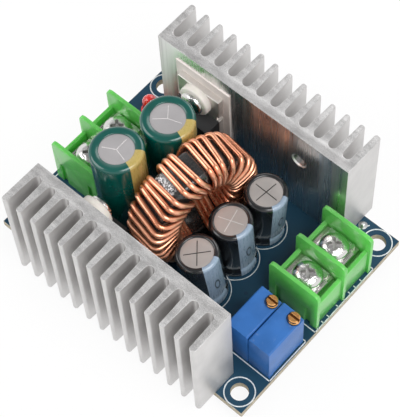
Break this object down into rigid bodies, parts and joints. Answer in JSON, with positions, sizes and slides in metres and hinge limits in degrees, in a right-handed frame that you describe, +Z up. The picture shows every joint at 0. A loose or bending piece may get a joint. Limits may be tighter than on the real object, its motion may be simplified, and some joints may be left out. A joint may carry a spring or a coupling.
{
  "type": "buck converter module",
  "caption": "Adjustable step-down power converter on a circuit board between finned heatsinks, with screw terminals at each end.",
  "frame": {"origin": "centre of the footprint, at the height of the cut solder tails that the module stands on", "axes": "+X from the input terminals to the output terminals, +Y from the front heatsink to the rear one, +Z up"},
  "size_m": [0.06, 0.0524, 0.0292],
  "materials": {
    "adjuster_brass": "polished",
    "black_epoxy": "matte",
    "black_film": "gloss",
    "blue_case": "satin",
    "bright_nickel": "polished",
    "can_aluminium": "satin",
    "chip_ceramic": "satin",
    "coated_core": "satin",
    "enamelled_copper": "gloss",
    "extruded_aluminium": "satin",
    "green_moulding": "satin",
    "red_lens": "gloss",
    "resistor_black": "satin",
    "silicone_pad": "matte",
    "solder_mask": "satin",
    "solder_tin": "satin",
    "teal_film": "gloss",
    "tinned_brass": "satin",
    "tinned_frame": "satin",
    "white_bushing": "satin"
  },
  "bodies": {
    "module": {"amplifier_body": "black_epoxy", "amplifier_leads": "solder_tin", "chip_components": "chip_ceramic", "circuit_board": "solder_mask", "controller_body": "black_epoxy", "controller_frame": "tinned_frame", "heatsink_front": "extruded_aluminium", "heatsink_pins": "solder_tin", "heatsink_rear": "extruded_aluminium", "inductor_core": "coated_core", "inductor_winding": "enamelled_copper", "inductor_wire_ends": "enamelled_copper", "inner_trimmer_body": "blue_case", "inner_trimmer_pins": "solder_tin", "input_terminal_contacts": "tinned_brass", "input_terminal_housing": "green_moulding", "insulating_pads": "silicone_pad", "lamp_leads": "solder_tin", "lamp_lens": "red_lens", "outer_trimmer_body": "blue_case", "outer_trimmer_pins": "solder_tin", "output_terminal_contacts": "tinned_brass", "output_terminal_housing": "green_moulding", "rectifier_body": "black_epoxy", "rectifier_frame": "tinned_frame", "regulator_body": "black_epoxy", "regulator_feet": "solder_tin", "short_capacitor_a_can": "can_aluminium", "short_capacitor_a_leads": "solder_tin", "short_capacitor_a_sleeve": "black_film", "short_capacitor_b_can": "can_aluminium", "short_capacitor_b_leads": "solder_tin", "short_capacitor_b_sleeve": "black_film", "short_capacitor_c_can": "can_aluminium", "short_capacitor_c_leads": "solder_tin", "short_capacitor_c_sleeve": "black_film", "shunt_resistors": "resistor_black", "tab_bushings": "white_bushing", "tab_screws": "bright_nickel", "tall_capacitor_a_can": "can_aluminium", "tall_capacitor_a_leads": "solder_tin", "tall_capacitor_a_sleeve": "teal_film", "tall_capacitor_b_can": "can_aluminium", "tall_capacitor_b_leads": "solder_tin", "tall_capacitor_b_sleeve": "teal_film"},
    "input_washer_a": {"input_clamp_washer_a": "bright_nickel"},
    "input_screw_a": {"input_terminal_screw_a": "bright_nickel"},
    "input_washer_b": {"input_clamp_washer_b": "bright_nickel"},
    "input_screw_b": {"input_terminal_screw_b": "bright_nickel"},
    "output_washer_a": {"output_clamp_washer_a": "bright_nickel"},
    "output_screw_a": {"output_terminal_screw_a": "bright_nickel"},
    "output_washer_b": {"output_clamp_washer_b": "bright_nickel"},
    "output_screw_b": {"output_terminal_screw_b": "bright_nickel"},
    "outer_adjuster": {"outer_trimmer_screw": "adjuster_brass"},
    "inner_adjuster": {"inner_trimmer_screw": "adjuster_brass"}
  },
  "joints": [
    {"name": "input_lift_a", "type": "slide", "parent": "module", "child": "input_washer_a", "axis": [0, 0, 1], "range_m": [0, 0.0025]},
    {"name": "input_turn_a", "type": "hinge", "parent": "input_washer_a", "child": "input_screw_a", "pos_m": [-0.02315, 0.00378, 0.0114], "axis": [0, 0, 1], "range_deg": [0, 1800]},
    {"name": "input_lift_b", "type": "slide", "parent": "module", "child": "input_washer_b", "axis": [0, 0, 1], "range_m": [0, 0.0025]},
    {"name": "input_turn_b", "type": "hinge", "parent": "input_washer_b", "child": "input_screw_b", "pos_m": [-0.02315, -0.00373, 0.0114], "axis": [0, 0, 1], "range_deg": [0, 1800]},
    {"name": "output_lift_a", "type": "slide", "parent": "module", "child": "output_washer_a", "axis": [0, 0, 1], "range_m": [0, 0.0025]},
    {"name": "output_turn_a", "type": "hinge", "parent": "output_washer_a", "child": "output_screw_a", "pos_m": [0.02395, 0.00358, 0.0114], "axis": [0, 0, 1], "range_deg": [0, 1800]},
    {"name": "output_lift_b", "type": "slide", "parent": "module", "child": "output_washer_b", "axis": [0, 0, 1], "range_m": [0, 0.0025]},
    {"name": "output_turn_b", "type": "hinge", "parent": "output_washer_b", "child": "output_screw_b", "pos_m": [0.02395, 0.01107, 0.0114], "axis": [0, 0, 1], "range_deg": [0, 1800]},
    {"name": "outer_trim", "type": "hinge", "parent": "module", "child": "outer_adjuster", "pos_m": [0.02813, -0.00526, 0.0134], "axis": [0, 0, 1], "continuous": true},
    {"name": "inner_trim", "type": "hinge", "parent": "module", "child": "inner_adjuster", "pos_m": [0.02307, -0.00526, 0.0134], "axis": [0, 0, 1], "continuous": true}
  ],
  "couplings": [
    {"joint": "input_turn_a", "follows": "input_lift_a", "rad_per_m": 12565},
    {"joint": "input_turn_b", "follows": "input_lift_b", "rad_per_m": 12565},
    {"joint": "output_turn_a", "follows": "output_lift_a", "rad_per_m": 12565},
    {"joint": "output_turn_b", "follows": "output_lift_b", "rad_per_m": 12565}
  ]
}
